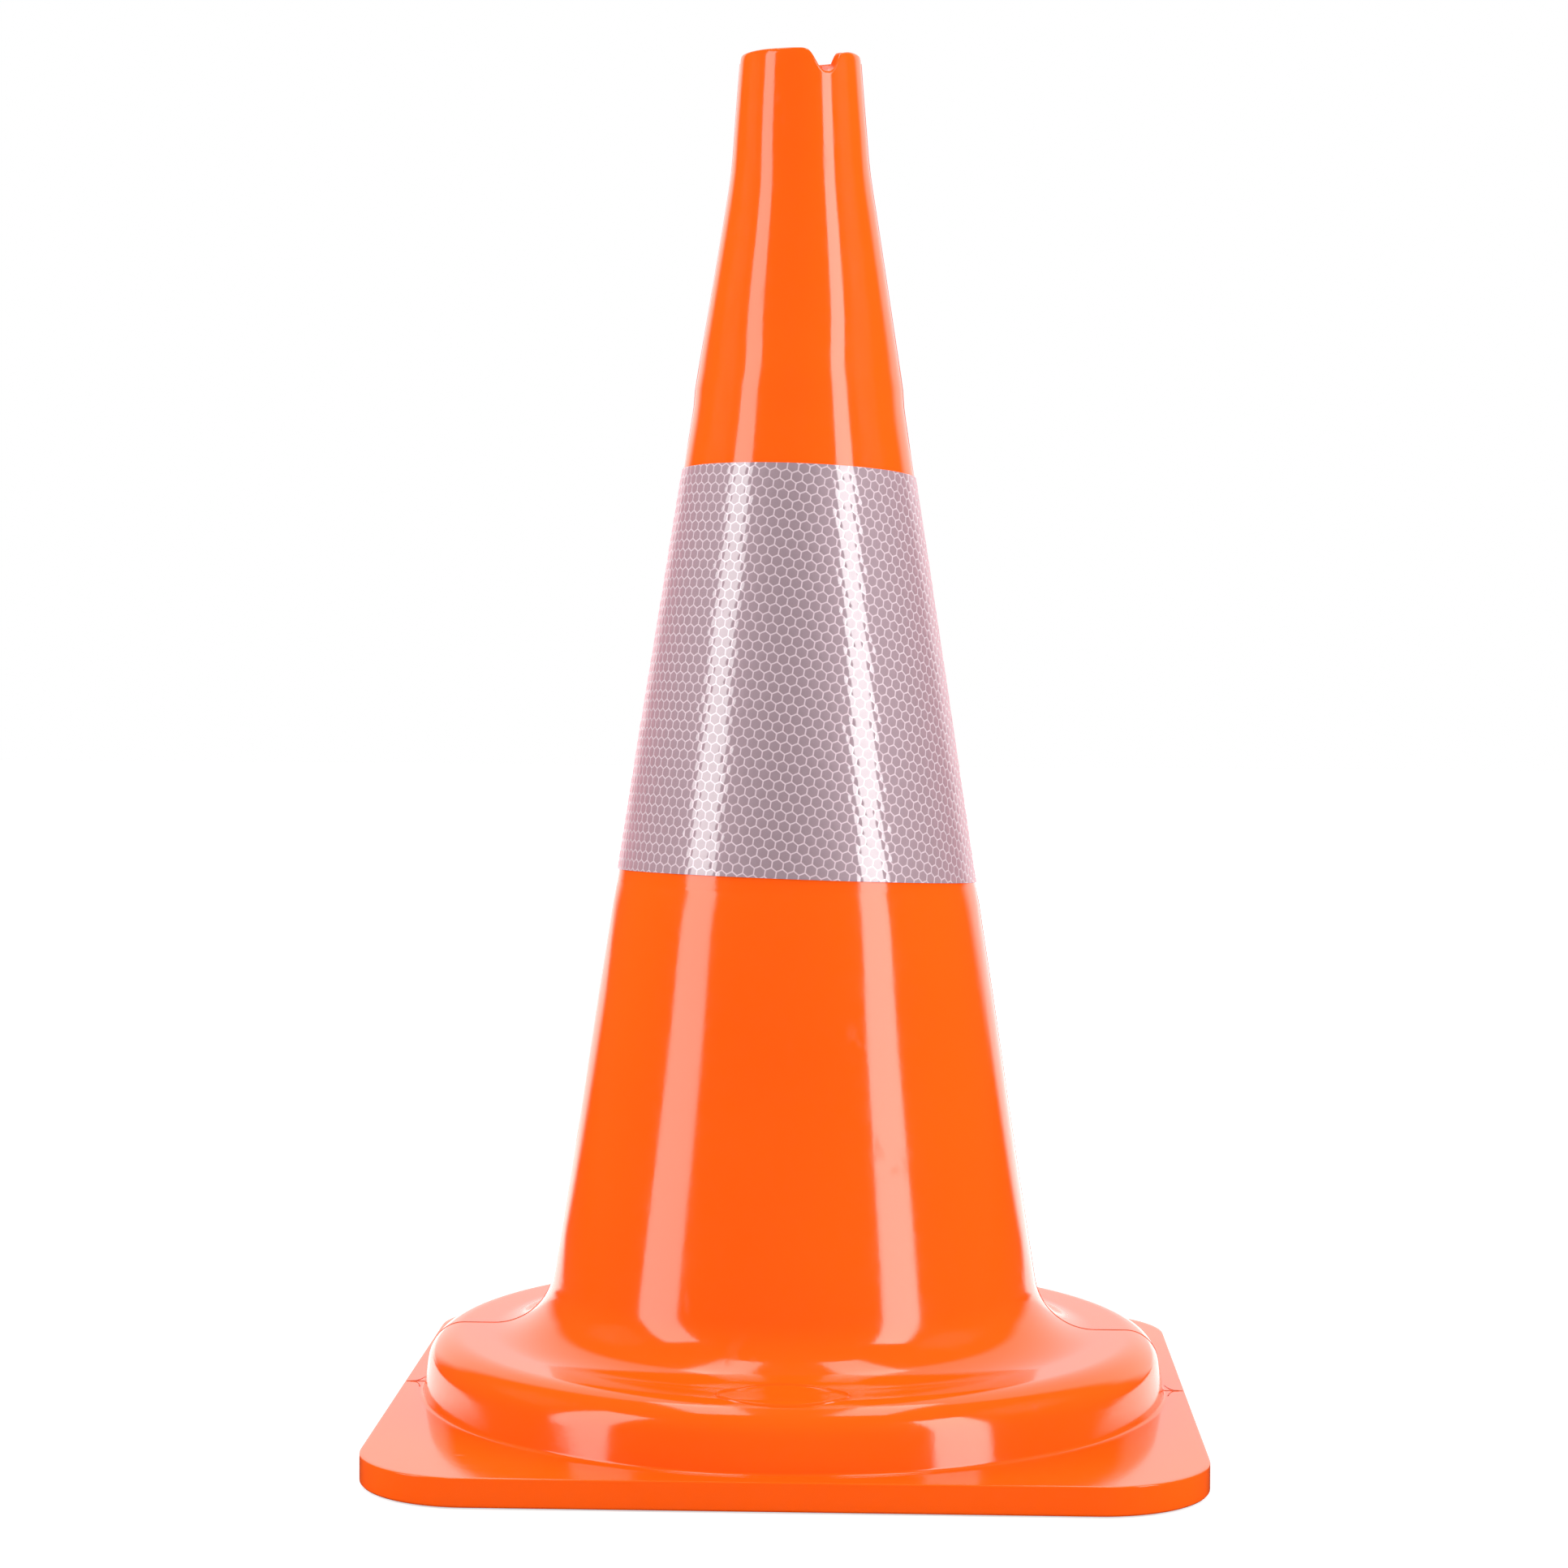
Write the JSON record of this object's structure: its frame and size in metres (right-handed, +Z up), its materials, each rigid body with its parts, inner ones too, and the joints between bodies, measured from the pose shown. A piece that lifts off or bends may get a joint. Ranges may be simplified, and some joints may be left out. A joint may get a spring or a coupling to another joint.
{
  "type": "traffic cone",
  "caption": "Orange moulded traffic cone with a hollow tapered shell, round plinth, square base plate and a bonded honeycomb reflective collar.",
  "frame": {"origin": "centre of the underside of the square base plate, on the floor", "axes": "+Z up along the cone's axis; -Y is the side of the plinth that carries the blank oval panel; the mould parting line lies in the XZ plane"},
  "size_m": [0.29, 0.29, 0.5],
  "materials": {
    "cone_pvc": "glossy soft PVC moulding",
    "adhesive": "pressure-sensitive adhesive",
    "seal_film": "white film, heat-sealed in a honeycomb",
    "prism_film": "embossed microprisms",
    "face_film": "clear glossy film"
  },
  "bodies": {
    "root": {"cone_body": "cone_pvc", "collar_adhesive": "adhesive", "collar_seal_film": "seal_film", "collar_prism_film": "prism_film", "collar_face_film": "face_film"}
  },
  "joints": []
}
